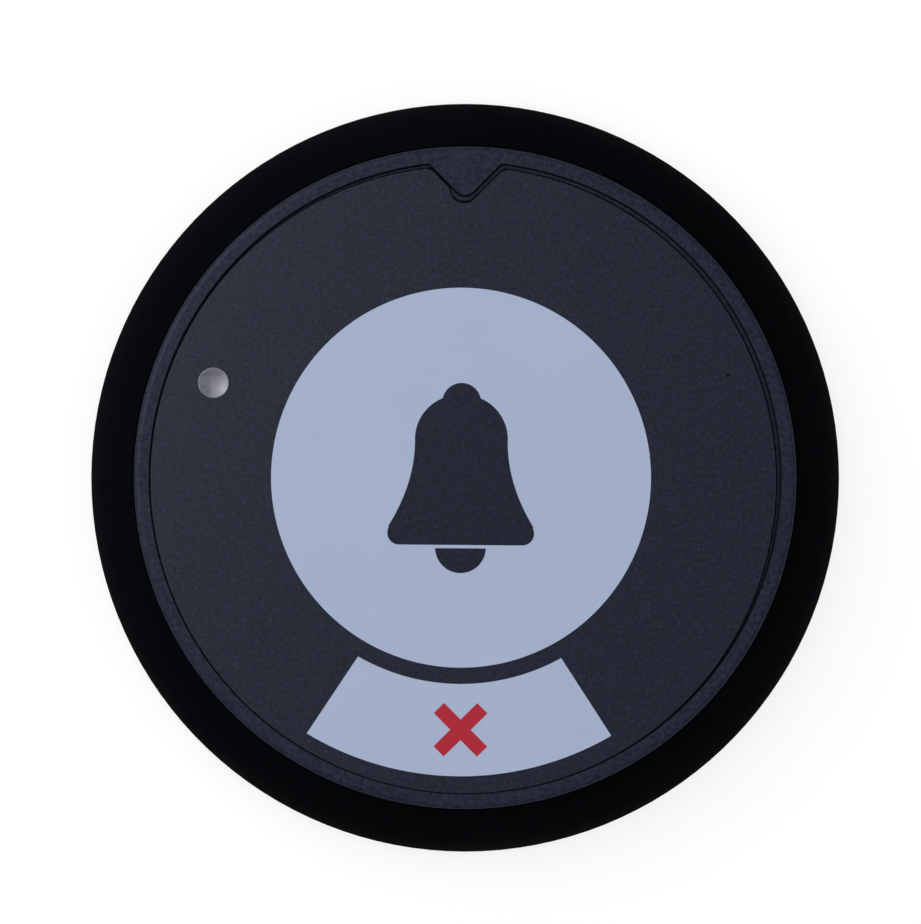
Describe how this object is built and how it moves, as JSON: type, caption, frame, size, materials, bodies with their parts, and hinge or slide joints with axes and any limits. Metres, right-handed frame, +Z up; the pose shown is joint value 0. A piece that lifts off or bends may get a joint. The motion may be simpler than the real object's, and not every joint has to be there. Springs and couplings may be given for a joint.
{
  "type": "waiter call button",
  "caption": "Round table-top call button: a film-covered call key with a bell field, a smaller cancel key, an indicator window and a twist-off mounting base.",
  "frame": {"origin": "middle of the underside, on the table", "axes": "+Z up out of the face, +Y towards the V-shaped locating tooth (the top of the picture), +X to the right of the picture"},
  "size_m": [0.07, 0.07, 0.016],
  "materials": {
    "grey_plastic": "fine spark-eroded grain, satin",
    "printed_film": "fine velvet-textured polycarbonate film with pale blue-grey printed fields",
    "black_plastic": "moulded, matt",
    "key_plastic": "moulded, plain",
    "window_plastic": "clear, frosted below",
    "foam_tape": "closed-cell foam tape",
    "seal_rubber": "moulded cord",
    "steel": "nickel-plated",
    "board": "solder mask over glass laminate",
    "copper": "etched foil",
    "chip_black": "moulded epoxy",
    "ceramic": "fired",
    "lamp": "diffused resin"
  },
  "bodies": {
    "mount": {"mounting_base": "black_plastic", "adhesive_disc": "foam_tape", "base_seal": "seal_rubber"},
    "housing": {"base_housing": "black_plastic", "top_cover": "grey_plastic", "overlay_film": "printed_film", "light_window": "window_plastic", "case_screws": "steel", "circuit_board": "board", "antenna_track": "copper", "call_switch_base": "chip_black", "call_switch_cover": "steel", "call_switch_dome": "steel", "call_switch_legs": "steel", "cancel_switch_base": "chip_black", "cancel_switch_cover": "steel", "cancel_switch_dome": "steel", "cancel_switch_legs": "steel", "indicator_led": "lamp", "controller_chip": "chip_black", "controller_leads": "steel", "radio_chip": "chip_black", "radio_crystal": "steel", "chip_resistors": "chip_black", "chip_capacitors": "ceramic", "battery_holder": "chip_black", "battery_cell": "steel", "positive_contact": "steel", "negative_contact": "steel"},
    "call_key": {"call_key": "key_plastic"},
    "cancel_key": {"cancel_key": "key_plastic"},
    "call_stem": {"call_switch_stem": "chip_black"},
    "cancel_stem": {"cancel_switch_stem": "chip_black"}
  },
  "joints": [
    {"name": "housing_twist", "type": "hinge", "parent": "mount", "child": "housing", "pos_m": [0, 0, 0], "axis": [0, 0, 1], "range_deg": [0, 18]},
    {"name": "call_press", "type": "slide", "parent": "housing", "child": "call_key", "axis": [0, 0, -1], "range_m": [0, 0.0004], "stiffness_N_per_m": 3000, "springref_m": -0.0003},
    {"name": "cancel_press", "type": "slide", "parent": "housing", "child": "cancel_key", "axis": [0, 0, -1], "range_m": [0, 0.0004], "stiffness_N_per_m": 3000, "springref_m": -0.0003},
    {"name": "call_stem_press", "type": "slide", "parent": "housing", "child": "call_stem", "axis": [0, 0, -1], "range_m": [0, 0.0004], "deforming": ["call_switch_dome"]},
    {"name": "cancel_stem_press", "type": "slide", "parent": "housing", "child": "cancel_stem", "axis": [0, 0, -1], "range_m": [0, 0.0004], "deforming": ["cancel_switch_dome"]}
  ],
  "couplings": [
    {"joint": "call_stem_press", "follows": "call_press", "ratio": 1},
    {"joint": "cancel_stem_press", "follows": "cancel_press", "ratio": 1}
  ]
}
